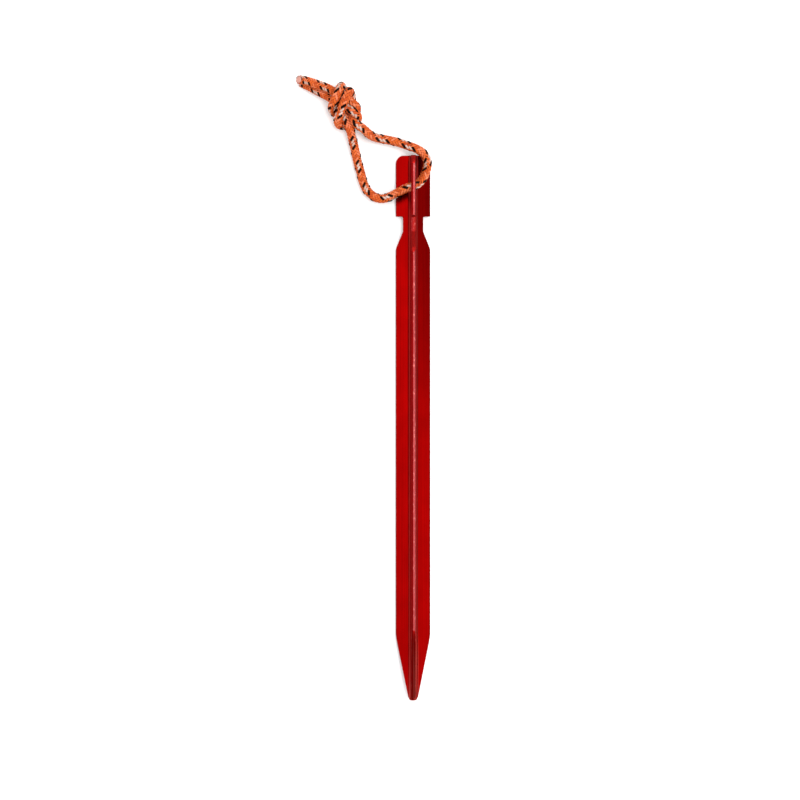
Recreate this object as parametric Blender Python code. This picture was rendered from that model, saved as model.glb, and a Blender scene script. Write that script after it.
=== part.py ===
"""Tent stake: an alloy peg with a Y-shaped section and a pull cord knotted through its head.

The stake lies on two of its fins with the drilled fin up. The head end is at +Y, the tip at -Y,
and z = 0 is the surface that the stake and its cord lie on. Lengths are in metres.
"""
import math

import bmesh
import bpy
from mathutils import Matrix, Vector

MM = 0.001

# The extruded section
LENGTH = 180 * MM
WIDTH = 11.4 * MM                # across the two lower fins
FIN_THICKNESS = 1.5 * MM
FIN_EDGE_RADIUS = 0.35 * MM
BEAD_RADIUS = 1.45 * MM          # round bead where the three fins meet
FIN_COUNT = 3

# What is milled off each fin: the guyline notch, the head's corner and the taper to the tip
HEAD_LENGTH = 20.1 * MM
HEAD_CORNER_RADIUS = 3.0 * MM
NECK_LENGTH = 5.0 * MM
NECK_REACH = 3.5 * MM            # from the bead's axis to the bottom of the notch
SHOULDER_LENGTH = 6.0 * MM
SHOULDER_RADIUS = 5.0 * MM
NOTCH_CORNER_RADIUS = 0.5 * MM
HOOK_CORNER_RADIUS = 0.4 * MM
TAPER_LENGTH = 21.7 * MM
TAPER_RADIUS = 18.0 * MM
TIP_REACH = 1.2 * MM             # fin reach where the taper meets the end of the bar
TIP_ROUNDING = 1.0 * MM

# The cord and the hole it runs through
CORD_DIAMETER = 3.0 * MM
HOLE_RADIUS = 1.9 * MM
HOLE_FROM_HEAD_END = 10.2 * MM
HOLE_ABOVE_BEAD_AXIS = 3.75 * MM

# Modelling tolerances
CLEAR = 0.02 * MM                # how far a cutter stays off a face that it must not touch
CUTTER_MARGIN = 2.0 * MM
CUTTER_HALF_THICKNESS = 1.2 * MM
WELD = 0.001 * MM
ARC_STEP = math.radians(12)
SHARP_ANGLE = math.radians(35)
TUBE_STEP = 2.0 * MM             # spacing of the points along the cord's tubes

# Worked out from the sizes above
HALF_THICKNESS = FIN_THICKNESS / 2
FLAT_HALF = HALF_THICKNESS - FIN_EDGE_RADIUS
SIDE_FIN_ANGLE = math.radians(30)  # of the two lower fins, below the horizontal
FIN_REACH = ((WIDTH / 2 - FIN_EDGE_RADIUS - FLAT_HALF * math.sin(SIDE_FIN_ANGLE))
             / math.cos(SIDE_FIN_ANGLE) + FIN_EDGE_RADIUS)
BEAD_HEIGHT = ((FIN_REACH - FIN_EDGE_RADIUS) * math.sin(SIDE_FIN_ANGLE)
               + FLAT_HALF * math.cos(SIDE_FIN_ANGLE) + FIN_EDGE_RADIUS)
HEAD_END = LENGTH / 2
TIP_END = -LENGTH / 2
HOLE = Vector((0, HEAD_END - HOLE_FROM_HEAD_END, BEAD_HEIGHT + HOLE_ABOVE_BEAD_AXIS))

# Route of the cord's loop, knot to knot: round the left of the head, through the hole, over the
# right lower fin, and back past the head end
LOOP_ROUTE = [Vector(point) * MM for point in (
    (-20.75, 97.95, 3.7), (-19.7, 93.8, 2.3), (-18.6, 89.3, 1.8), (-17.6, 85.4, 1.8),
    (-16.4, 81.2, 2.1), (-14.9, 78.1, 2.6), (-12.3, 76.1, 3.0), (-9.5, 75.8, 3.4),
    (-6.8, 76.8, 4.5), (-3.4, 78.6, 6.4), (-1.0, 79.5, 7.3), (1.0, 80.1, 7.3),
    (2.9, 81.9, 6.5), (4.3, 84.9, 5.4), (4.7, 87.8, 5.0), (3.5, 90.5, 5.0), (1.2, 92.1, 4.8),
    (-2.2, 93.4, 4.1), (-5.8, 94.6, 3.1), (-9.6, 95.4, 2.4), (-13.3, 96.3, 2.5),
    (-16.0, 98.2, 3.2), (-17.5, 100.0, 4.0))]

# The knot, an overhand knot in the doubled cord, as one rounded lump
KNOT_CENTRE = Vector((-22.4, 106.1, 5.0)) * MM
KNOT_HALF_SIZE = Vector((5.6, 8.3, 4.85)) * MM
KNOT_TURN = math.radians(6)

# The two tails, from the knot to their cut ends
UPPER_TAIL_ROUTE = [Vector(point) * MM for point in (
    (-27.5, 111.7, 5.1), (-31.2, 113.0, 4.9), (-34.5, 114.2, 4.7), (-37.6, 115.0, 4.5))]
LOWER_TAIL_ROUTE = [Vector(point) * MM for point in (
    (-28.3, 109.2, 3.5), (-31.3, 110.7, 2.6), (-34.6, 112.4, 1.9), (-37.6, 113.6, 1.6))]


def new_collection(name):
    collection = bpy.data.collections.new(name)
    bpy.context.scene.collection.children.link(collection)
    return collection


def material(name, color, roughness, metallic):
    made = bpy.data.materials.new(name)
    made.use_nodes = True
    shader = made.node_tree.nodes["Principled BSDF"]
    shader.inputs["Base Color"].default_value = (*color, 1.0)
    shader.inputs["Roughness"].default_value = roughness
    shader.inputs["Metallic"].default_value = metallic
    return made


def add_object(name, data, collection, matrix=None):
    made = bpy.data.objects.new(name, data)
    if matrix is not None:
        made.matrix_world = matrix
    collection.objects.link(made)
    return made


def take_active_object(name, collection):
    """Name the object that an operator has just added, and move it to a collection."""
    made = bpy.context.object
    made.name = name
    for other in made.users_collection:
        other.objects.unlink(made)
    collection.objects.link(made)
    return made


def arc(centre, start, end, radius):
    """Points on a circle from angle start to angle end, both included."""
    steps = max(2, math.ceil(abs(end - start) / ARC_STEP))
    angles = [start + (end - start) * i / steps for i in range(steps + 1)]
    return [centre + radius * Vector((math.cos(a), math.sin(a))) for a in angles]


def rounded_outline(corners):
    """Closed outline through (x, y, radius) corners, each rounded by an arc that is tangent."""
    outline = []
    for index, (x, y, radius) in enumerate(corners):
        corner = Vector((x, y))
        before = (Vector(corners[index - 1][:2]) - corner).normalized()
        after = (Vector(corners[(index + 1) % len(corners)][:2]) - corner).normalized()
        if radius == 0:
            outline.append(corner)
            continue
        half_angle = before.angle(after) / 2
        centre = corner + (before + after).normalized() * radius / math.sin(half_angle)
        tangent = radius / math.tan(half_angle)
        from_centre = corner + before * tangent - centre
        start = math.atan2(from_centre.y, from_centre.x)
        turn = math.pi - 2 * half_angle
        left_turn = before.x * after.y - before.y * after.x < 0
        outline += arc(centre, start, start + (turn if left_turn else -turn), radius)
    return outline


def prism(name, outline, half_thickness, collection, matrix):
    """A flat outline given a thickness, as one closed mesh."""
    curve = bpy.data.curves.new(name, "CURVE")
    curve.dimensions = "2D"
    curve.fill_mode = "BOTH"
    curve.extrude = half_thickness
    spline = curve.splines.new("POLY")
    spline.points.add(len(outline) - 1)
    for point, place in zip(spline.points, outline):
        point.co = (place.x, place.y, 0, 1)
    spline.use_cyclic_u = True
    return curve_to_mesh(add_object(name, curve, collection, matrix), collection)


def curve_to_mesh(curve_object, collection):
    """Replace a curve object by its mesh, with the caps welded on."""
    bpy.context.view_layer.update()
    depsgraph = bpy.context.evaluated_depsgraph_get()
    mesh = bpy.data.meshes.new_from_object(curve_object.evaluated_get(depsgraph))
    welded = bmesh.new()
    welded.from_mesh(mesh)
    bmesh.ops.remove_doubles(welded, verts=welded.verts, dist=WELD)
    bmesh.ops.recalc_face_normals(welded, faces=welded.faces)
    welded.to_mesh(mesh)
    welded.free()
    name, matrix = curve_object.name, curve_object.matrix_world.copy()
    bpy.data.objects.remove(curve_object)
    mesh.name = name
    made = add_object(name, mesh, collection, matrix)
    made.name = name
    return made


def section_outline():
    """Three fins with rounded edges around a bead, in a plane across the stake."""
    fin_root = math.asin(HALF_THICKNESS / BEAD_RADIUS)
    outline = []
    for index in range(FIN_COUNT):
        angle = math.radians(90) + index * math.tau / FIN_COUNT
        outward = Vector((math.cos(angle), math.sin(angle)))
        across = Vector((-outward.y, outward.x))
        edge = outward * (FIN_REACH - FIN_EDGE_RADIUS)
        outline += arc(edge - across * FLAT_HALF, angle - math.pi / 2, angle, FIN_EDGE_RADIUS)
        outline += arc(edge + across * FLAT_HALF, angle, angle + math.pi / 2, FIN_EDGE_RADIUS)
        next_fin = angle + math.tau / FIN_COUNT
        outline += arc(Vector((0, 0)), angle + fin_root, next_fin - fin_root, BEAD_RADIUS)
    return outline


def fin_plane(index):
    """Matrix of a plane through the bead's axis and a fin: x along the stake, y outward."""
    upright = Matrix(((0, 0, 1), (1, 0, 0), (0, 1, 0))).to_4x4()
    turned = Matrix.Rotation(index * math.tau / FIN_COUNT, 4, "Y")
    return Matrix.Translation((0, 0, BEAD_HEIGHT)) @ turned @ upright


def milling_outlines():
    """Outlines of what is milled off a fin, as (along the stake, outward) in the fin's plane."""
    edge = FIN_REACH + CLEAR
    beyond = FIN_REACH + CUTTER_MARGIN
    end = HEAD_END + CLEAR
    hook = HEAD_END - HEAD_LENGTH
    neck_start = hook - NECK_LENGTH
    shoulder = neck_start - SHOULDER_LENGTH
    taper_start = TIP_END + TAPER_LENGTH
    taper_slope = (FIN_REACH - TIP_REACH) / TAPER_LENGTH
    past_tip = TIP_END - CUTTER_MARGIN
    notch = [(shoulder - CUTTER_MARGIN, edge, 0), (shoulder, edge, SHOULDER_RADIUS),
             (neck_start, NECK_REACH, NOTCH_CORNER_RADIUS), (hook, NECK_REACH, NOTCH_CORNER_RADIUS),
             (hook, edge, HOOK_CORNER_RADIUS), (hook + CUTTER_MARGIN, edge, 0),
             (hook + CUTTER_MARGIN, beyond, 0), (shoulder - CUTTER_MARGIN, beyond, 0)]
    head_corner = [(end - 2 * HEAD_CORNER_RADIUS, edge, 0), (end, edge, HEAD_CORNER_RADIUS),
                   (end, BEAD_RADIUS, 0), (end + CUTTER_MARGIN, BEAD_RADIUS, 0),
                   (end + CUTTER_MARGIN, beyond, 0), (end - 2 * HEAD_CORNER_RADIUS, beyond, 0)]
    taper = [(taper_start + 2 * CUTTER_MARGIN, edge, 0), (taper_start, edge, TAPER_RADIUS),
             (past_tip, TIP_REACH - CUTTER_MARGIN * taper_slope, 0), (past_tip, beyond, 0),
             (taper_start + 2 * CUTTER_MARGIN, beyond, 0)]
    return {"notch": notch, "head_corner": head_corner, "taper": taper}


def tip_ring(collection):
    """A turned ring that rounds the end of the bar."""
    core = BEAD_RADIUS - TIP_ROUNDING
    outside = BEAD_RADIUS + CUTTER_MARGIN
    profile = [Vector((outside, TIP_ROUNDING)), *arc(Vector((core, TIP_ROUNDING)), 0, -math.pi / 2,
                                                     TIP_ROUNDING),
               Vector((core, -CUTTER_MARGIN)), Vector((outside, -CUTTER_MARGIN))]
    mesh = bpy.data.meshes.new("tip_ring")
    ring = bmesh.new()
    corners = [ring.verts.new((point.x, 0, point.y)) for point in profile]
    edges = [ring.edges.new((corners[i - 1], corners[i])) for i in range(len(corners))]
    bmesh.ops.spin(ring, geom=corners + edges, cent=(0, 0, 0), axis=(0, 0, 1), angle=math.tau,
                   steps=24, use_merge=True)
    bmesh.ops.remove_doubles(ring, verts=ring.verts, dist=WELD)
    bmesh.ops.recalc_face_normals(ring, faces=ring.faces)
    ring.to_mesh(mesh)
    ring.free()
    lengthwise = Matrix.Rotation(-math.pi / 2, 4, "X")
    return add_object("tip_ring", mesh, collection,
                      Matrix.Translation((0, TIP_END, BEAD_HEIGHT)) @ lengthwise)


def make_stake(parts, cutters):
    across_stake = Matrix.Rotation(math.pi / 2, 4, "X")
    stake = prism("stake_body", section_outline(), LENGTH / 2, parts,
                  Matrix.Translation((0, 0, BEAD_HEIGHT)) @ across_stake)
    for index in range(FIN_COUNT):
        for name, corners in milling_outlines().items():
            prism(f"{name}_cutter_{index + 1}", rounded_outline(corners),
                  CUTTER_HALF_THICKNESS, cutters, fin_plane(index))
    tip_ring(cutters)
    bpy.ops.mesh.primitive_cylinder_add(vertices=32, radius=HOLE_RADIUS, depth=4 * FIN_THICKNESS,
                                        location=HOLE, rotation=(0, math.pi / 2, 0))
    take_active_object("cord_hole_drill", cutters)
    for cutter in cutters.objects:
        cutter.hide_render = True
        cutter.display_type = "WIRE"
    cut = stake.modifiers.new("milled_and_drilled", "BOOLEAN")
    cut.operation = "DIFFERENCE"
    cut.operand_type = "COLLECTION"
    cut.collection = cutters
    cut.solver = "EXACT"
    stake.data.shade_smooth()
    stake.data.set_sharp_from_angle(angle=SHARP_ANGLE)
    return stake


def smooth_route(route):
    """Points spaced evenly along a smooth curve through the route's own points."""
    guides = [2 * route[0] - route[1], *route, 2 * route[-1] - route[-2]]
    fine = []
    for before, start, end, after in zip(guides, guides[1:], guides[2:], guides[3:]):
        for step in range(16):
            t = step / 16
            fine.append(0.5 * (2 * start + (end - before) * t
                               + (2 * before - 5 * start + 4 * end - after) * t ** 2
                               + (3 * start - before - 3 * end + after) * t ** 3))
    fine.append(route[-1])
    travelled = [0.0]
    for start, end in zip(fine, fine[1:]):
        travelled.append(travelled[-1] + (end - start).length)
    count = round(travelled[-1] / TUBE_STEP)
    points, here = [], 0
    for index in range(count + 1):
        target = travelled[-1] * index / count
        while here < len(fine) - 2 and travelled[here + 1] < target:
            here += 1
        share = (target - travelled[here]) / (travelled[here + 1] - travelled[here])
        points.append(fine[here].lerp(fine[here + 1], share))
    return points


def cord_tube(name, route, parts):
    curve = bpy.data.curves.new(name, "CURVE")
    curve.dimensions = "3D"
    curve.bevel_depth = CORD_DIAMETER / 2
    curve.bevel_resolution = 2
    curve.use_fill_caps = True
    points = smooth_route(route)
    spline = curve.splines.new("POLY")
    spline.points.add(len(points) - 1)
    for point, place in zip(spline.points, points):
        point.co = (*place, 1)
    tube = add_object(name, curve, parts, Matrix.Identity(4))
    return curve_to_mesh(tube, parts)


def make_knot(parts):
    bpy.ops.mesh.primitive_uv_sphere_add(segments=24, ring_count=14, radius=1,
                                         location=KNOT_CENTRE, rotation=(0, 0, KNOT_TURN))
    knot = take_active_object("cord_knot", parts)
    knot.data.transform(Matrix.Diagonal((*KNOT_HALF_SIZE, 1)))
    knot.data.shade_smooth()
    return knot


def hang_on_hole(pieces, parts):
    """Parent the cord's pieces to an empty on the hole's axis, about which the loop swings."""
    pivot = add_object("loop_pivot", None, parts, Matrix.Translation(HOLE))
    bpy.context.view_layer.update()
    for piece in pieces:
        place = piece.matrix_world.copy()
        piece.parent = pivot
        piece.matrix_parent_inverse = pivot.matrix_world.inverted()
        piece.matrix_world = place


def main():
    for old in list(bpy.data.objects):
        bpy.data.objects.remove(old)
    parts = new_collection("tent_stake")
    cutters = new_collection("cutters")
    stake = make_stake(parts, cutters)
    loop = cord_tube("cord_loop", LOOP_ROUTE, parts)
    knot = make_knot(parts)
    upper_tail = cord_tube("upper_tail", UPPER_TAIL_ROUTE, parts)
    lower_tail = cord_tube("lower_tail", LOWER_TAIL_ROUTE, parts)
    hang_on_hole((loop, knot, upper_tail, lower_tail), parts)
    stake.data.materials.append(material("red_anodised_alloy", (0.40, 0.004, 0.006), 0.35, 0.9))
    for piece in (loop, knot, upper_tail, lower_tail):
        piece.data.materials.append(material(f"{piece.name}_orange_cord", (0.80, 0.16, 0.03),
                                             0.75, 0.0))


main()
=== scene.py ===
"""Looks of the tent stake: a red anodised Y-section stake with an orange reflective pull cord.

The stake lies on two fins along Y with its head at +Y, and z = 0 is the floor. Metres throughout.
"""
import math

import bmesh
import bpy
import numpy as np
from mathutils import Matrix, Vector


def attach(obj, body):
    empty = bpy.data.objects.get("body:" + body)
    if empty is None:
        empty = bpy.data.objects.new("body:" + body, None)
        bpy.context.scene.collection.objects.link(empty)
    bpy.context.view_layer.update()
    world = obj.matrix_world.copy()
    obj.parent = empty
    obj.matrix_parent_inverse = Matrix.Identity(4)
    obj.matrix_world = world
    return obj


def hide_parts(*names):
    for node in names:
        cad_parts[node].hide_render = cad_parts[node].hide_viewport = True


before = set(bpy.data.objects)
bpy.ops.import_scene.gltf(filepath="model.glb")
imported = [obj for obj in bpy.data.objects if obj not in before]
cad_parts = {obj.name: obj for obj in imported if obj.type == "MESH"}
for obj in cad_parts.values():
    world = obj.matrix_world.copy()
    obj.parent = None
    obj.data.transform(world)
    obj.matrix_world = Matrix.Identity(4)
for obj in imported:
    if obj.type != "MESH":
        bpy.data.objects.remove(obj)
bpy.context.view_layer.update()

MM = 0.001

# ---------------------------------------------------------------- sizes

# The cord, a 16-carrier braid: 8 yarns wind each way, each over two and under two
CORD_DIAMETER = 3.0 * MM
CORD_RADIUS = CORD_DIAMETER / 2
CARRIERS = 8
CELL_STEPS = 6                    # mesh steps across one crossing of two yarns
AROUND = CARRIERS * CELL_STEPS    # mesh corners round the cord
YARN_CROWN = 0.28 * MM            # height of a yarn's rounded back
BLACK_CROWN = 0.38 * MM           # the black tracers are thicker yarn, the white ones thinner
WHITE_CROWN = 0.24 * MM
YARN_WEAVE = 0.08 * MM            # how far a yarn rises over and dips under the others
# Along the braid from the upper tail: place in mm, one turn of a yarn in mm, twist in degrees
LAY = [(0, 6.9, 99), (14, 6.9, 99), (18, 9.25, 92), (26, 9.03, 40), (61, 9.03, 40), (65, 8.7, 40),
       (69, 8.7, 40), (73, 8.0, 40), (88, 8.0, 40), (91, 9.5, 40), (97, 9.5, 40), (106, 9.5, 0),
       (138, 9.4, 0), (142, 8.98, 0), (182, 8.98, -52), (186, 6.9, -52), (200, 6.9, -52)]
ORANGE, BLACK, WHITE, CORE = range(4)   # material slots of the cord
TRACERS = {0: BLACK, 1: WHITE, 2: WHITE, 3: BLACK}   # among the right-handed yarns
CROWNS = {ORANGE: YARN_CROWN, BLACK: BLACK_CROWN, WHITE: WHITE_CROWN}
RIGHT_CROWNS = np.array([CROWNS[TRACERS.get(carrier, ORANGE)] for carrier in range(CARRIERS)])
TRACER_TURN = math.radians(20)    # where round the cord the tracers start
PRESSED_GAP = 0.02 * MM           # left between cords that press on each other
PRESS_APART = 1.4 * CORD_DIAMETER   # stretches of cord nearer than this along it don't press
LAY_STEPS = 4000                  # steps along the cord in which its turns are counted

# The cut ends: (distance out past the braid's edge, radius) in mm, from the mouth to the core
CUT_END = [(0.05, 1.28), (-0.10, 1.19), (-0.02, 1.12), (0.20, 1.06), (0.38, 0.88), (0.50, 0.58),
           (0.54, 0.24)]
CUT_FLUTES = 7                    # ripples round a cut end
CUT_RIPPLE = 0.03                 # their depth and the rings' unevenness, as a part of the radius
CUT_MOUTH = 3                     # rings of a cut end that still show the yarns' colours
CUT_RELIEF = 0.6                  # how far out of the grooves the cut yarns count as, which sets their painted groove shade
STUB_LENGTH = 0.7 * MM            # the braid stops this far short of the line's ends
CUT_SLOPE = 0.35                  # the cuts slant, so that their faces look up
CUT_REACH = 2.4 * MM              # length of braid that the slant draws with it

# The cord's route, from the hole out to each cut end
HOLE = (0.0, 79.8, 7.42)
LEFT_LOOP = [(-1.0, 79.5, 7.3), (-3.4, 78.6, 6.4), (-6.8, 76.8, 4.5), (-9.5, 75.8, 3.4),
             (-12.3, 76.1, 3.0), (-14.9, 78.1, 2.6), (-16.4, 81.2, 2.1), (-17.6, 85.4, 1.8),
             (-18.6, 89.3, 1.8), (-19.6, 93.6, 2.4), (-20.5, 97.6, 3.8)]
LEFT_KNOT = [(-21.1, 101.2, 4.4), (-21.8, 104.5, 3.2), (-22.8, 108.5, 2.2), (-23.2, 112.2, 3.0),
             (-23.5, 113.7, 5.6), (-24.4, 111.6, 8.0), (-25.5, 108.8, 8.2), (-26.8, 106.3, 6.8),
             (-27.2, 105.0, 4.2), (-26.0, 103.9, 1.8), (-22.8, 103.0, 1.5), (-20.0, 103.4, 1.8),
             (-18.9, 104.8, 4.2), (-19.4, 106.4, 6.2), (-21.6, 108.0, 5.8), (-24.4, 109.9, 4.6)]
UPPER_TAIL = [(-28.0, 112.0, 5.0), (-31.2, 113.2, 4.9), (-34.3, 114.3, 4.9), (-36.6, 114.8, 5.4),
              (-38.3, 114.9, 6.1)]
RIGHT_LOOP = [(1.0, 80.1, 7.3), (2.9, 81.9, 6.5), (4.3, 84.9, 5.4), (4.7, 87.8, 5.0),
              (3.5, 90.5, 5.0), (1.2, 92.1, 4.8), (-2.2, 93.4, 4.1), (-5.8, 94.6, 3.1),
              (-9.6, 95.4, 2.7), (-13.3, 96.3, 2.9), (-16.0, 98.4, 3.9)]
RIGHT_KNOT = [(-18.3, 101.4, 4.6), (-19.2, 104.4, 3.4), (-20.1, 108.0, 2.4), (-20.6, 110.9, 3.4),
              (-21.0, 112.2, 6.0), (-21.7, 110.0, 8.2), (-22.9, 106.5, 8.4), (-24.4, 103.2, 7.4),
              (-25.2, 100.8, 5.2), (-24.9, 99.8, 2.4), (-22.6, 99.7, 1.5), (-20.1, 100.4, 1.6),
              (-18.6, 101.8, 3.6), (-18.9, 103.3, 6.0), (-20.9, 105.0, 6.0), (-24.2, 107.0, 4.0)]
LOWER_TAIL = [(-27.8, 109.3, 3.4), (-30.9, 111.0, 2.7), (-34.2, 112.8, 1.9), (-37.8, 114.6, 1.6)]

# Pulling the knot tight
ROPE_STEP = 0.65 * MM             # spacing of the points while the knot settles
KNOT_STEPS = 110
KNOT_PULL = 0.125                 # how far a step pulls a point to its neighbours' middle
KNOT_STIFFNESS = 0.25             # how much a step evens out the bending
PUSH_PASSES = 6                   # passes in a step that push touching cords apart
PUSH_SHARING = 0.6                # how far a point's pushes are shared among its contacts
KNOT_APART = 1.35 * CORD_DIAMETER   # points nearer than this along the cord don't push
PRESSED_DIAMETER = 2.56 * MM      # distance between the middles of two cords pressed together
SMOOTHING = 0.5                   # how far a smoothing pass moves a point to its neighbours' middle
SMOOTH_PASSES = 2
KNOT_SIDE = -20.5 * MM            # past this X the knot is drawn in by its own wraps
SIDE_PULL = 0.30                  # by this share of its distance past it
SIDE_FROM, SIDE_TO = 99.5 * MM, 103.0 * MM   # along Y, where the drawing in starts and is full

# The stake
BEAD_AXIS_Z = 3.67 * MM
BEAD_RADIUS = 1.45 * MM
FIN_REACH = 6.297 * MM
TIP_Z = 0.8 * MM                  # middle of the lower fins' edges, the widest part
CROWN = 0.025 * MM                # the top edge is this much lower at its sides
EDGE_HALF = 0.4 * MM              # half the width of the top edge's flat
EDGE_BAND = 0.4 * MM              # what is nearer than this to a fin's reach is its edge
TAPER_FROM = -65 * MM             # the taper is ground along Y, the other cuts are milled
TAPER_TO = -80 * MM               # the streaks of the grinding are full from here on
STREAKS_END = 2.0 * MM            # beside the bead the streaks fade out this far from the middle
BEAD_HIGHLIGHT = (1.15 * MM, 1.30 * MM)   # a painted highlight line along each side of the bead, in a brighter tint
TOP_FIN_Z = 5.2 * MM
HIGHLIGHT_AND_NOTCH_SPLIT = -0.12 * MM          # the top edge has a painted highlight tint from here towards +X; the notch floors change from milled to worn here too
INSIDE_ROUND = 0.35 * MM          # rounding where the fins leave the bead
FIN_DIRECTIONS = [Vector((math.cos(turn), math.sin(turn)))
                  for turn in (math.radians(90), math.radians(210), math.radians(330))]
EDGE_BREAK = 0.10 * MM            # bevel on every sharp outer edge
SHARP = math.radians(35)          # edges bent more than this are sharp
CREASE = math.radians(12)         # inside corners bent more than this are rounded
FLAT = math.radians(0.6)          # faces of the CAD mesh bent less than this are one face
WELD = 0.002 * MM                 # corners of the CAD mesh nearer than this are one corner
ALONG = 0.05                      # a face that leans more than this towards Y is a cut one
OUTWARD = 0.05                    # a face of a fin's edge is turned outward more than this
STRAIGHT_OUT = 0.95               # a notch's floor is turned outward more than this

# Camera and light
VIEW_CENTRE = (-4.3 * MM, 9.26 * MM)
VIEW_WIDTH = 264.7 * MM
LENS = 200.0
SENSOR = 36.0
VIEW_TILT = math.radians(0.8)     # the view is from straight above, a little to the left
AMBIENT = 0.84
FLOOR_HALF = 1.5
FLOOR_COLOUR = (0.92, 0.92, 0.92)
# Panels: name, place, target, width, depth, radiance
PANELS = [("overhead", (0.60, 0.35, 1.6), (0, 0, 0), 1.4, 1.4, 5.0),
          ("left_panel", (-0.60, 0.09, 0.35), (0, 0.07, 0), 0.52, 0.35, 3.0),
          ("right_panel", (0.33, -0.22, 0.19), (0, -0.22, 0), 0.50, 0.22, 2.45)]

# Looks of the cord. Backs are the darkest, middle and lightest colours of a yarn's back; the groove
# colours are painted shade in the pits between the yarns
ORANGE_BACKS = [(0.42, 0.055, 0.007), (0.58, 0.098, 0.013), (0.68, 0.185, 0.085)]
ORANGE_GROOVE_SHADE = (0.14, 0.010, 0.0015)
BLACK_BACKS = [(0.007, 0.002, 0.001), (0.010, 0.003, 0.002), (0.014, 0.005, 0.003)]
BLACK_GROOVE_SHADE = (0.003, 0.001, 0.001)
WHITE_BACKS = [(0.50, 0.31, 0.24), (0.56, 0.38, 0.31), (0.63, 0.47, 0.41)]
WHITE_GROOVE_SHADE = (0.18, 0.08, 0.06)
CORE_DARK = (0.40, 0.13, 0.09)
CORE_LIGHT = (0.53, 0.27, 0.22)
CORE_GRAIN = 4200.0               # noise scale, in cells per metre
FILAMENTS = (11, 1.1, 1)          # noise scales across and along a yarn, in cells per yarn
FILAMENT_RELIEF = 0.04 * MM

# Finishes of the stake, one for each material slot: name, tint, roughness, marks, wear and painted
# glints. The edge, side and line tints are painted highlight and shade.
FINISHES = [("anodised_drawn", (0.175, 0.0004, 0.0004), 0.30, "drawn", 0.0),
            # painted highlight: a pinker, brighter tint on the top fin's edge where the light above
            # reflects
            ("anodised_edge_painted_highlight", (0.205, 0.026, 0.027), 0.27, "edge", 0.5),
            # painted shade: a darker tint on the lower fins' outer edges, which turn away from the
            # light
            ("anodised_side_painted_shade", (0.08, 0.0008, 0.0008), 0.35, "edge", 0.0),
            ("anodised_milled", (0.22, 0.010, 0.011), 0.40, "milled", 0.8),
            ("anodised_worn", (0.21, 0.009, 0.008), 0.35, "edge", 0.3),
            ("anodised_slope", (0.30, 0.008, 0.007), 0.40, "milled", 0.0),
            # painted highlight: a brighter tint on the line along each side of the bead
            ("anodised_line_painted_highlight", (0.36, 0.030, 0.022), 0.30, "edge", 0.0)]
DRAWN, HIGHLIGHT_EDGE, SHADED_SIDE, MILLED, WORN, SLOPE, HIGHLIGHT_LINE = range(len(FINISHES))
GRAZING_TINT = (1.0, 0.6, 0.6)    # of reflections at a grazing angle
DRAWN_LINES = (3600, 12, 3600)    # noise scales, in cells per metre
GROUND_STREAKS = (3200, 25, 25)
SCUFF_AND_GLINT_SCALES = (2500, 900, 2500)
EDGE_CLOUDS, CLOUDS, GRAIN = 420.0, 130.0, 9000.0
CUTTER_MARKS = 1500.0
DARK_LINE = 0.70                  # how much of the tint is left in the darkest drawn lines
GROUND_COLOUR = (0.25, 0.034, 0.026)
# pink scuffs, partly wear and partly painted glints of the light on the rubbed and milled faces
SCUFF_AND_GLINT_COLOUR = (0.42, 0.15, 0.14)


# ---------------------------------------------------------------- camera

def make_camera():
    data = bpy.data.cameras.new("camera")
    data.lens = LENS
    data.sensor_width = SENSOR
    data.clip_start = 0.01
    data.clip_end = 20
    camera = bpy.data.objects.new("camera", data)
    distance = VIEW_WIDTH * LENS / SENSOR
    centre = Vector((*VIEW_CENTRE, TIP_Z))
    camera.location = centre + distance * Vector((-math.sin(VIEW_TILT), 0, math.cos(VIEW_TILT)))
    camera.rotation_euler = (0, -VIEW_TILT, 0)
    bpy.context.scene.collection.objects.link(camera)
    bpy.context.scene.camera = camera


# ---------------------------------------------------------------- the cord's line

def catmull(points, per_span=24):
    """A smooth curve through the points."""
    guides = np.vstack([2 * points[0] - points[1], points, 2 * points[-1] - points[-2]])
    t = np.arange(per_span)[:, None] / per_span
    spans = [0.5 * (2 * b + (c - a) * t + (2 * a - 5 * b + 4 * c - d) * t ** 2
                    + (3 * b - a - 3 * c + d) * t ** 3)
             for a, b, c, d in zip(guides, guides[1:], guides[2:], guides[3:])]
    return np.vstack([*spans, points[-1:]])


def travelled(points):
    """Distance along a line of points."""
    return np.r_[0, np.cumsum(np.linalg.norm(np.diff(points, axis=0), axis=1))]


def at_distances(points, distances):
    along = travelled(points)
    return np.stack([np.interp(distances, along, points[:, k]) for k in range(3)], 1)


def evenly_spaced(points, step):
    length = travelled(points)[-1]
    return at_distances(points, np.linspace(0, length, round(length / step) + 1))


def nearest(points, place):
    return int(np.argmin(np.linalg.norm(points - place, axis=1)))


def bent_back(points):
    """The way from each point to the middle of its neighbours, and none at the two ends."""
    lap = np.zeros_like(points)
    lap[1:-1] = (points[:-2] + points[2:]) / 2 - points[1:-1]
    return lap


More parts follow.
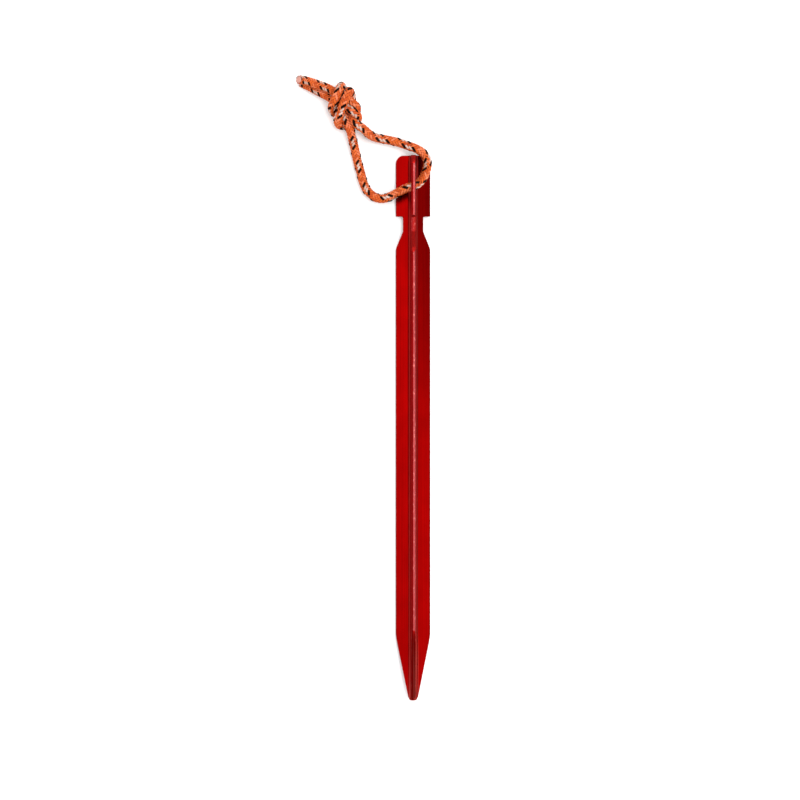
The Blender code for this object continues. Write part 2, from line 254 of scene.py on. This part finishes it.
def settle(points, free):
    """Pull the free points tight against each other, as a knot is pulled."""
    count = len(points)
    index = np.arange(count)
    apart = math.ceil(KNOT_APART / ROPE_STEP)
    pairs = np.triu(np.abs(index[:, None] - index[None, :]) > apart)
    moves = free[:, None]
    for _ in range(KNOT_STEPS):
        lap = bent_back(points)
        pulled = points + KNOT_PULL * lap - KNOT_STIFFNESS * bent_back(lap)
        points = np.where(moves, pulled, points)
        for _ in range(PUSH_PASSES):
            between = points[:, None, :] - points[None, :, :]
            distance = np.linalg.norm(between, axis=2) + 1e-12
            overlap = np.where(pairs & (distance < PRESSED_DIAMETER),
                               PRESSED_DIAMETER - distance, 0)
            if overlap.max() <= 0:
                break
            # each of two touching points gives way by half of the overlap
            push = (overlap / distance)[:, :, None] * between * 0.5
            push = push.sum(1) - push.sum(0)
            touching = (overlap > 0).sum(1) + (overlap > 0).sum(0)
            push /= np.maximum(touching, 1)[:, None] ** PUSH_SHARING
            points = points + np.where(moves, push, 0)
            low = moves[:, 0] & (points[:, 2] < CORD_RADIUS)
            points[low, 2] = CORD_RADIUS
    return points


def cord_line():
    """The whole cord's centreline, upper tail's end to lower tail's end, with the knot settled."""
    left = np.array([*LEFT_LOOP, *LEFT_KNOT, *UPPER_TAIL]) * MM
    right = np.array([*RIGHT_LOOP, *RIGHT_KNOT, *LOWER_TAIL]) * MM
    route = np.vstack([left[::-1], [np.array(HOLE) * MM], right])
    points = evenly_spaced(catmull(route), ROPE_STEP)
    free = np.zeros(len(points), bool)
    for loop, tail in ((LEFT_LOOP, UPPER_TAIL), (RIGHT_LOOP, LOWER_TAIL)):
        ends = sorted(nearest(points, np.array(place) * MM) for place in (loop[-1], tail[0]))
        free[ends[0] + 1:ends[1]] = True
    points = settle(points, free)
    past = np.where(free, np.clip(points[:, 0] - KNOT_SIDE, 0, None), 0)
    points[:, 0] -= SIDE_PULL * past * np.interp(points[:, 1], (SIDE_FROM, SIDE_TO), (0, 1))
    for _ in range(SMOOTH_PASSES):
        points = points + SMOOTHING * bent_back(points)
    return points


# ---------------------------------------------------------------- the braid

def turning_frames(points):
    """Tangents and two crosswise directions that don't spin about the line."""
    tangents = np.gradient(points, axis=0)
    tangents /= np.linalg.norm(tangents, axis=1)[:, None]
    sides = np.zeros_like(points)
    side = np.cross(tangents[0], (0, 0, 1.0))
    sides[0] = side / np.linalg.norm(side)
    for i in range(1, len(points)):
        side = sides[i - 1] - tangents[i] * (sides[i - 1] @ tangents[i])
        sides[i] = side / np.linalg.norm(side)
    return tangents, sides, np.cross(tangents, sides)


def lay_at(distances):
    """Length of one turn of a yarn, and how far the pattern is twisted round, along the braid."""
    places, lays, twists = np.array(LAY).T
    return (np.interp(distances / MM, places, lays) * MM,
            np.radians(np.interp(distances / MM, places, twists)))


def yarn_back(x):
    """Rounded back of a yarn, 1 along its middle and 0 at its edges."""
    return np.sqrt(np.clip(1 - (2 * x) ** 2, 0, 1))


def weave(x):
    """1 over a yarn's two crossings on top and -1 over its two below, from the first one's middle."""
    return np.clip(math.sqrt(2) * np.cos(np.pi / 2 * (x - 0.5)), -1, 1)


def braid_height(a, b):
    """Height of the yarns over the pits between them, and whether the right-handed one is on top.

    a counts the left-handed yarns and b the right-handed ones, both whole along a yarn's middle.
    """
    near_a, near_b = np.round(a), np.round(b)
    left = YARN_CROWN * yarn_back(a - near_a) + YARN_WEAVE * weave(b + near_a - 2)
    crown = RIGHT_CROWNS[near_b.astype(int) % CARRIERS]
    right = crown * yarn_back(b - near_b) + YARN_WEAVE * weave(a + near_b)
    return np.maximum(left, right), right > left


def press(rings, centres, line, line_at, ring_at):
    """Flatten each ring where another stretch of cord lies against it, and on the floor."""
    for i, centre in enumerate(centres):
        other = line[np.abs(line_at - ring_at[i]) > PRESS_APART]
        toward = other - centre
        distance = np.linalg.norm(toward, axis=1)
        close = distance < CORD_DIAMETER
        for direction, gap in zip(toward[close], distance[close]):
            direction = direction / gap
            past = (rings[i] - centre) @ direction - (gap / 2 - PRESSED_GAP)
            rings[i] -= np.clip(past, 0, None)[:, None] * direction
    rings[..., 2] = np.maximum(rings[..., 2], PRESSED_GAP)
    return rings


def braid(line):
    """The braid's corners, ring by ring, with each corner's relief, and the rings' frames."""
    along = travelled(line)
    length = along[-1]
    fine = np.linspace(STUB_LENGTH, length - STUB_LENGTH, LAY_STEPS)
    lay, _ = lay_at((fine[1:] + fine[:-1]) / 2 - STUB_LENGTH)
    turns = np.r_[0, np.cumsum(np.diff(fine) / lay)]
    q = np.arange(int(turns[-1] * 2 * AROUND))
    ring_at = np.interp(q / (2 * AROUND), turns, fine)
    smooth = catmull(line, 8)
    centres = at_distances(smooth, ring_at * travelled(smooth)[-1] / length)
    frames = turning_frames(centres)
    p = (q % 2)[:, None] + 2 * np.arange(AROUND)[None, :]
    row = q[:, None]
    height, _ = braid_height((p + row) / (2 * CELL_STEPS), (p - row) / (2 * CELL_STEPS))
    radius = CORD_RADIUS - YARN_CROWN - YARN_WEAVE + height
    _, twist = lay_at(ring_at - STUB_LENGTH)
    angle = p * np.pi / AROUND + TRACER_TURN + twist[:, None]
    outward = (np.cos(angle)[..., None] * frames[1][:, None, :]
               + np.sin(angle)[..., None] * frames[2][:, None, :])
    rings = centres[:, None, :] + radius[..., None] * outward
    for away, gap in ((-frames[0][0], ring_at - ring_at[0]),
                      (frames[0][-1], ring_at[-1] - ring_at)):
        drawn = CUT_SLOPE * np.clip(1 - gap / CUT_REACH, 0, 1)[:, None]
        rings -= (drawn * (rings - centres[:, None, :])[..., 2])[..., None] * away
    rings = press(rings, centres, line, along, ring_at)
    return rings, height / (YARN_CROWN + YARN_WEAVE), centres, outward, frames[0]


def braid_faces(first, last):
    """Diamond faces between two rings: their corners' ring and place, and the a and b of each."""
    q = np.arange(first + 1, last)[:, None]
    m = np.arange(AROUND)[None, :]
    odd = q % 2
    place = [m + 0 * q, (m + odd) % AROUND, (m + 1) % AROUND + 0 * q, (m + odd) % AROUND]
    ring = [q + 0 * m, q - 1 + 0 * m, q + 0 * m, q + 1 + 0 * m]
    corners = np.stack([(r - first) * AROUND + at for r, at in zip(ring, place)], -1)
    a = (odd + 2 * m + q) / (2 * CELL_STEPS)
    b = (odd + 2 * m - q) / (2 * CELL_STEPS)
    step = 1 / CELL_STEPS
    corner_a = np.stack([a, a, a + step, a + step], -1)
    corner_b = np.stack([b, b + step, b + step, b], -1)
    return corners.reshape(-1, 4), corner_a.reshape(-1, 4), corner_b.reshape(-1, 4)


def cut_end(centre, outward, away):
    """Rings of the mouth of the braid and the fused core that stands out of it."""
    wobble = np.random.default_rng(7)
    rings = []
    round_cord = np.arange(AROUND) * math.tau / AROUND
    flutes = 1 + CUT_RIPPLE * np.cos(CUT_FLUTES * round_cord + wobble.random() * 6)
    for out, radius in CUT_END:
        uneven = flutes + CUT_RIPPLE * wobble.standard_normal()
        ring = outward * (radius * MM * uneven)[:, None]
        rings.append(centre + ring + away * (out * MM - CUT_SLOPE * ring[:, 2])[:, None])
    return np.array(rings), centre + away * (CUT_END[-1][0] + 0.02) * MM


def woven_faces(first, last):
    """The braid's faces between two rings, with their slots, tones and UV corners."""
    faces, corner_a, corner_b = braid_faces(first, last)
    middle_a, middle_b = corner_a.mean(1), corner_b.mean(1)
    _, right_on_top = braid_height(middle_a, middle_b)
    yarn = np.where(right_on_top, np.round(middle_b), np.round(middle_a)).astype(int)
    slots = np.full(len(faces), ORANGE)
    for carrier, slot in TRACERS.items():
        slots[right_on_top & (yarn % CARRIERS == carrier)] = slot
    # across and along each yarn, in widths of a yarn
    across = np.where(right_on_top[:, None], corner_b - yarn[:, None], corner_a - yarn[:, None])
    onward = np.where(right_on_top[:, None], corner_a, corner_b)
    stitch = np.floor((onward.mean(1) + yarn - np.where(right_on_top, 0, 2) + 0.5) / 4)
    # a tone from 0 to 1 that jumps about from stitch to stitch
    tone = (np.sin(yarn * 12.9898 + stitch * 78.233 + right_on_top * 37.7) * 43758.5453) % 1
    uv = np.stack([across + 3 * yarn[:, None], onward], -1).reshape(-1, 2)
    return faces.tolist(), slots.tolist(), tone.tolist(), uv


def closing_faces(first, last):
    """Faces that close a half at its cut end and in the hole, with their slots and UV corners."""
    faces, slots, uv = [], [], []

    def add_face(corners, slot, spots, turned):
        faces.append(corners[::-1] if turned else corners)
        slots.append(slot)
        uv.extend(spots)

    place = range(AROUND)
    for ring, inner in ((first, first + 1), (last, last - 1)):
        base, beside = (ring - first) * AROUND, (inner - first) * AROUND
        for m in place:
            corners = [base + m, base + (m + 1) % AROUND, beside + (m + ring % 2) % AROUND]
            spots = [(m / CELL_STEPS, 0), (m / CELL_STEPS, 0.2), (m / CELL_STEPS, 0.1)]
            add_face(corners, ORANGE, spots, ring != first)
    turned = first != 0
    tail, hole = (last, first) if turned else (first, last)
    start = (last - first + 1) * AROUND
    bases = [(tail - first) * AROUND] + [start + i * AROUND for i in range(len(CUT_END))]
    tip = start + len(CUT_END) * AROUND
    for i, (base, outer) in enumerate(zip(bases, bases[1:])):
        for m in place:
            after = (m + 1) % AROUND
            carrier = round((2 * m + 1 + tail % 2 - tail) / (2 * CELL_STEPS)) % CARRIERS
            spots = [(m, i), (m, i + 1), (m + 1, i + 1), (m + 1, i)]
            spots = [(u / CELL_STEPS, v / 2) for u, v in (spots[::-1] if turned else spots)]
            add_face([base + m, outer + m, outer + after, base + after],
                     TRACERS.get(carrier, ORANGE) if i < CUT_MOUTH else CORE, spots, turned)
    for m in place:
        spots = [(m / CELL_STEPS, 4), (m / CELL_STEPS, 4.2), ((m + 1) / CELL_STEPS, 4)]
        add_face([bases[-1] + m, tip, bases[-1] + (m + 1) % AROUND], CORE, spots, turned)
    add_face([(hole - first) * AROUND + m for m in place], ORANGE,
             [(m / CELL_STEPS, 0) for m in place], turned)
    return faces, slots, uv


def make_half(name, braided, first, last, materials):
    """One half of the cord, from ring first to ring last: flat in the hole, cut at the tail."""
    rings, relief, centres, outward, tangents = braided
    tail, away = (first, -tangents[first]) if first == 0 else (last, tangents[last])
    end_rings, tip = cut_end(centres[tail], outward[tail], away)
    verts = np.vstack([rings[first:last + 1].reshape(-1, 3), end_rings.reshape(-1, 3), tip[None]])
    faces, slots, tone, uv = woven_faces(first, last)
    end_faces, end_slots, end_uv = closing_faces(first, last)
    # relief sets how much painted groove shade the yarn materials mix in
    height = np.r_[relief[first:last + 1].ravel(), np.full(len(CUT_END) * AROUND + 1, CUT_RELIEF)]
    mesh = bpy.data.meshes.new(name)
    mesh.from_pydata(verts.tolist(), [], faces + end_faces)
    mesh.polygons.foreach_set("material_index", slots + end_slots)
    mesh.attributes.new("relief", "FLOAT", "POINT").data.foreach_set("value", height)
    mesh.attributes.new("tone", "FLOAT", "FACE").data.foreach_set(
        "value", tone + [0.5] * len(end_faces))
    layer = mesh.uv_layers.new(name="along_yarns")
    layer.uv.foreach_set("vector", np.vstack([uv, end_uv]).ravel())
    for made in materials:
        mesh.materials.append(made)
    mesh.shade_smooth()
    mesh.update()
    obj = bpy.data.objects.new(name, mesh)
    bpy.context.scene.collection.objects.link(obj)
    return obj


# ---------------------------------------------------------------- materials

def new_material(name, roughness, metallic=0.0, edge_tint=(1, 1, 1)):
    made = bpy.data.materials.new(name)
    made.use_nodes = True
    shader = made.node_tree.nodes["Principled BSDF"]
    shader.inputs["Roughness"].default_value = roughness
    shader.inputs["Metallic"].default_value = metallic
    shader.inputs["Specular Tint"].default_value = (*edge_tint, 1)
    return made, shader


def node(tree, kind, inputs=None, **settings):
    """A shader node, with sockets set to values or linked from other sockets."""
    made = tree.nodes.new(kind)
    for name, value in settings.items():
        setattr(made, name, value)
    for name, value in (inputs or {}).items():
        if isinstance(value, bpy.types.NodeSocket):
            tree.links.new(value, made.inputs[name])
        else:
            made.inputs[name].default_value = value
    return made


def ramp(tree, factor, stops):
    """A colour ramp through (position, grey or colour) stops."""
    made = node(tree, "ShaderNodeValToRGB", {"Fac": factor})
    elements = made.color_ramp.elements
    while len(elements) < len(stops):
        elements.new(0.5)
    for element, (position, colour) in zip(elements, stops):
        element.position = position
        element.color = (colour, colour, colour, 1) if isinstance(colour, float) else (*colour, 1)
    return made.outputs["Color"]


def mixed(tree, factor, first, second, blend="MIX"):
    """Colour of first with second mixed over it."""
    made = node(tree, "ShaderNodeMix", {0: factor}, data_type="RGBA", blend_type=blend)
    for socket, value in ((6, first), (7, second)):
        if isinstance(value, bpy.types.NodeSocket):
            tree.links.new(value, made.inputs[socket])
        else:
            made.inputs[socket].default_value = (*value, 1)
    return made.outputs[2]


def math_node(tree, operation, *values, clamp=False):
    made = node(tree, "ShaderNodeMath", dict(enumerate(values)), operation=operation)
    made.use_clamp = clamp
    return made.outputs[0]


def noise(tree, vector, scale, detail, stretch=None):
    """Noise from 0 to 1 at a vector that may be stretched first."""
    if stretch is not None:
        vector = node(tree, "ShaderNodeMapping", {"Vector": vector, "Scale": stretch}).outputs[0]
    made = node(tree, "ShaderNodeTexNoise", {"Vector": vector, "Scale": scale, "Detail": detail})
    return made.outputs["Fac"]


def bump(tree, shader, height, distance, strength=1.0):
    made = node(tree, "ShaderNodeBump", {"Height": height, "Distance": distance,
                                         "Strength": strength})
    tree.links.new(made.outputs["Normal"], shader.inputs["Normal"])


def yarn_material(name, groove_shade, backs, roughness, specular=0.15):
    """Spun yarn, with painted shade darkening it in the grooves, a little different stitch by stitch,
    with filaments.
    """
    made, shader = new_material(name, roughness)
    tree = made.node_tree
    relief = node(tree, "ShaderNodeAttribute", attribute_name="relief").outputs["Fac"]
    tone = node(tree, "ShaderNodeAttribute", attribute_name="tone").outputs["Fac"]
    yarns = node(tree, "ShaderNodeUVMap", uv_map="along_yarns").outputs["UV"]
    filaments = noise(tree, yarns, 1.0, 2.0, FILAMENTS)
    depth = math_node(tree, "ADD", relief, math_node(tree, "MULTIPLY", filaments, 0.16), clamp=True)
    back = ramp(tree, tone, [(0.0, backs[0]), (0.5, backs[1]), (1.0, backs[2])])
    # the groove colour is painted shade, mixed in where the relief is low
    colour = mixed(tree, ramp(tree, depth, [(0.34, 0.0), (0.98, 1.0)]), groove_shade, back)
    shade = ramp(tree, filaments, [(0.35, 0.80), (0.60, 1.0)])
    colour = mixed(tree, 1.0, colour, shade, "MULTIPLY")
    tree.links.new(colour, shader.inputs["Base Color"])
    rough = math_node(tree, "MULTIPLY_ADD", filaments, 0.2, roughness - 0.1)
    tree.links.new(rough, shader.inputs["Roughness"])
    shader.inputs["Specular IOR Level"].default_value = specular
    bump(tree, shader, filaments, FILAMENT_RELIEF, 0.8)
    return made


def core_material():
    """Fused ends of the core's filaments."""
    made, shader = new_material("cord_core", 0.5)
    tree = made.node_tree
    place = node(tree, "ShaderNodeTexCoord").outputs["Object"]
    strands = noise(tree, place, CORE_GRAIN, 3.0)
    tree.links.new(ramp(tree, strands, [(0.30, CORE_DARK), (0.62, CORE_LIGHT)]),
                   shader.inputs["Base Color"])
    bump(tree, shader, strands, 2 * FILAMENT_RELIEF, 0.8)
    return made


def make_cord_materials():
    """Materials of the cord's slots, in their order."""
    return [yarn_material("orange_yarn", ORANGE_GROOVE_SHADE, ORANGE_BACKS, 0.75),
            yarn_material("black_yarn", BLACK_GROOVE_SHADE, BLACK_BACKS, 0.8, 0.02),
            yarn_material("reflective_yarn", WHITE_GROOVE_SHADE, WHITE_BACKS, 0.4),
            core_material()]


def ground_near_tip(tree, place):
    """1 in the streaks that grinding left on the bead near the tip, and 0 elsewhere."""
    split = node(tree, "ShaderNodeSeparateXYZ", {"Vector": place}).outputs
    near_tip = node(tree, "ShaderNodeMapRange", {"Value": split["Y"], "From Min": TAPER_FROM,
                                                 "From Max": TAPER_TO}).outputs["Result"]
    off_middle = math_node(tree, "ABSOLUTE", split["X"])
    on_bead = node(tree, "ShaderNodeMapRange", {"Value": off_middle, "From Min": STREAKS_END,
                                                "From Max": BEAD_RADIUS}).outputs["Result"]
    streaks = ramp(tree, noise(tree, place, 1.0, 3.0, GROUND_STREAKS), [(0.48, 0.0), (0.60, 1.0)])
    return math_node(tree, "MULTIPLY", math_node(tree, "MULTIPLY", near_tip, on_bead), streaks)


def alloy_material(name, tint, roughness, marks, wear_and_glints):
    """Dyed anodised alloy. marks is how the surface was made: drawn, edge or milled."""
    made, shader = new_material(name, roughness, 1.0, GRAZING_TINT)
    tree = made.node_tree
    place = node(tree, "ShaderNodeTexCoord").outputs["Object"]
    drawn = noise(tree, place, 1.0, 3.0, DRAWN_LINES)
    cloud = noise(tree, place, EDGE_CLOUDS if marks == "edge" else CLOUDS, 2.0)
    grain = noise(tree, place, GRAIN, 1.0)
    dark = tuple(DARK_LINE * part for part in tint)
    colour = mixed(tree, ramp(tree, drawn, [(0.32, 0.0), (0.58, 1.0)]), dark, tint)
    colour = mixed(tree, 1.0, colour, ramp(tree, cloud, [(0.3, 0.84), (0.7, 1.0)]), "MULTIPLY")
    if marks == "drawn":
        colour = mixed(tree, ground_near_tip(tree, place), colour, GROUND_COLOUR)
    if wear_and_glints:
        # scuffs of wear, which also serve as painted glints
        scuffs_and_glints = ramp(tree, noise(tree, place, 1.0, 4.0, SCUFF_AND_GLINT_SCALES), [(0.56, 0.0), (0.68, wear_and_glints)])
        colour = mixed(tree, scuffs_and_glints, colour, SCUFF_AND_GLINT_COLOUR)
    tree.links.new(colour, shader.inputs["Base Color"])
    rough = math_node(tree, "MULTIPLY_ADD", drawn, 0.14, roughness - 0.07)
    tree.links.new(rough, shader.inputs["Roughness"])
    if marks == "milled":
        cutter = node(tree, "ShaderNodeTexWave", {"Vector": place, "Scale": CUTTER_MARKS,
                                                  "Distortion": 2.0, "Detail": 2.0},
                      bands_direction="Y").outputs["Fac"]
        height, distance = math_node(tree, "ADD", cutter, grain), 0.012 * MM
    else:
        height = math_node(tree, "ADD", drawn, math_node(tree, "MULTIPLY", grain, 0.25))
        distance = 0.004 * MM
    bump(tree, shader, height, distance)
    return made


# ---------------------------------------------------------------- the stake

def stake_slot(face):
    """Which finish a face of the stake has, some of them painted highlight or painted shade."""
    middle = face.calc_center_median()
    across = Vector((middle.x, middle.z - BEAD_AXIS_Z))
    if abs(face.normal.y) > ALONG:
        return SLOPE if middle.y > TAPER_FROM else DRAWN
    outward = Vector((face.normal.x, face.normal.z))
    reach = max(across.dot(fin) for fin in FIN_DIRECTIONS)
    facing = max(outward.dot(fin) for fin in FIN_DIRECTIONS)
    if reach > FIN_REACH - EDGE_BAND and facing > OUTWARD:
        # the lower fins' outer edges get the painted shade tint
        if across.y < 0:
            return SHADED_SIDE
        # the top edge's right part gets the painted highlight tint
        return HIGHLIGHT_EDGE if middle.x > HIGHLIGHT_AND_NOTCH_SPLIT else DRAWN
    # the painted highlight line beside the bead
    if BEAD_HIGHLIGHT[0] < abs(middle.x) < BEAD_HIGHLIGHT[1] and BEAD_AXIS_Z < middle.z < TOP_FIN_Z:
        return HIGHLIGHT_LINE
    if facing > STRAIGHT_OUT and reach > BEAD_RADIUS:
        return MILLED if middle.x < HIGHLIGHT_AND_NOTCH_SPLIT else WORN
    return DRAWN


def shape_stake(made):
    """Crown the top edge, give each face its finish and round the inside corners by the bead."""
    bmesh.ops.remove_doubles(made, verts=made.verts, dist=WELD)
    bmesh.ops.dissolve_limit(made, angle_limit=FLAT, verts=made.verts, edges=made.edges)
    bmesh.ops.bisect_plane(made, geom=[*made.verts, *made.edges, *made.faces],
                           plane_co=(HIGHLIGHT_AND_NOTCH_SPLIT, 0, 0), plane_no=(1, 0, 0), dist=WELD / 2)
    for vert in made.verts:
        if vert.co.z > BEAD_AXIS_Z + FIN_REACH - EDGE_BAND:
            vert.co.z -= CROWN * (vert.co.x / EDGE_HALF) ** 2
    for face in made.faces:
        face.material_index = stake_slot(face)
    inside = [edge for edge in made.edges if edge.calc_face_angle_signed(0) < -CREASE
              and all(abs(face.normal.y) < ALONG for face in edge.link_faces)]
    bmesh.ops.bevel(made, geom=inside, offset=INSIDE_ROUND, offset_type="OFFSET", segments=3,
                    profile=0.5, affect="EDGES", clamp_overlap=False, material=DRAWN)
    bmesh.ops.dissolve_degenerate(made, dist=WELD, edges=made.edges)
    made.normal_update()
    breaks = made.edges.layers.float.new("bevel_weight_edge")
    for edge in made.edges:
        turn = edge.calc_face_angle_signed(0)
        edge[breaks] = float(turn > SHARP)
        edge.smooth = turn > -SHARP


def make_stake():
    """The stake's CAD mesh with its outer edges broken and its faces smoothed."""
    made = bmesh.new()
    made.from_mesh(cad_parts["stake_body"].data)
    shape_stake(made)
    mesh = bpy.data.meshes.new("anodised_stake")
    made.to_mesh(mesh)
    made.free()
    for finish in FINISHES:
        mesh.materials.append(alloy_material(*finish))
    mesh.shade_smooth()
    stake = bpy.data.objects.new("anodised_stake", mesh)
    bpy.context.scene.collection.objects.link(stake)
    bevel = stake.modifiers.new("broken_edges", "BEVEL")
    bevel.width = EDGE_BREAK
    bevel.segments = 2
    bevel.limit_method = "WEIGHT"
    bevel.use_clamp_overlap = False
    bevel.material = WORN
    shading = stake.modifiers.new("flat_faces", "WEIGHTED_NORMAL")
    shading.keep_sharp = True
    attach(stake, "stake")
    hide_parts("stake_body")


# ---------------------------------------------------------------- floor and light

def make_floor():
    mesh = bpy.data.meshes.new("floor")
    corners = [(-1, -1), (1, -1), (1, 1), (-1, 1)]
    mesh.from_pydata([(FLOOR_HALF * x, FLOOR_HALF * y, 0) for x, y in corners], [], [(0, 1, 2, 3)])
    floor = bpy.data.objects.new("floor", mesh)
    bpy.context.scene.collection.objects.link(floor)
    made, shader = new_material("pale_floor", 0.9)
    shader.inputs["Base Color"].default_value = (*FLOOR_COLOUR, 1)
    mesh.materials.append(made)


def area_light(name, place, target, width, depth, radiance):
    """A soft panel facing a target. Radiance is what a mirror would show of it."""
    data = bpy.data.lights.new(name, "AREA")
    data.shape = "RECTANGLE"
    data.size = width
    data.size_y = depth
    data.energy = radiance * math.pi * width * depth
    light = bpy.data.objects.new(name, data)
    light.location = place
    aim = Vector(target) - Vector(place)
    light.rotation_euler = aim.to_track_quat("-Z", "Y").to_euler()
    light.visible_camera = False
    bpy.context.scene.collection.objects.link(light)


def make_light():
    world = bpy.data.worlds.new("studio")
    world.use_nodes = True
    background = world.node_tree.nodes["Background"]
    background.inputs["Color"].default_value = (1, 1, 1, 1)
    background.inputs["Strength"].default_value = AMBIENT
    bpy.context.scene.world = world
    for name, place, target, width, depth, radiance in PANELS:
        area_light(name, place, target, width, depth, radiance)
    bpy.context.scene.view_settings.view_transform = "Standard"


# ---------------------------------------------------------------- the cord

def make_cord():
    """Both halves of the cord, which meet inside the hole."""
    braided = braid(cord_line())
    centres = braided[2]
    middle = nearest(centres, np.array(HOLE) * MM)
    materials = make_cord_materials()
    halves = ((0, middle, "cord_left_half", ("cord_loop", "cord_knot", "upper_tail")),
              (middle, len(centres) - 1, "cord_right_half", ("cord_loop", "cord_knot", "lower_tail")))
    for first, last, name, solids in halves:
        half = make_half(name, braided, first, last, materials)
        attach(half, "pull_loop")
        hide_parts(*solids)


# ---------------------------------------------------------------- build

make_camera()
make_cord()
make_stake()
make_floor()
make_light()
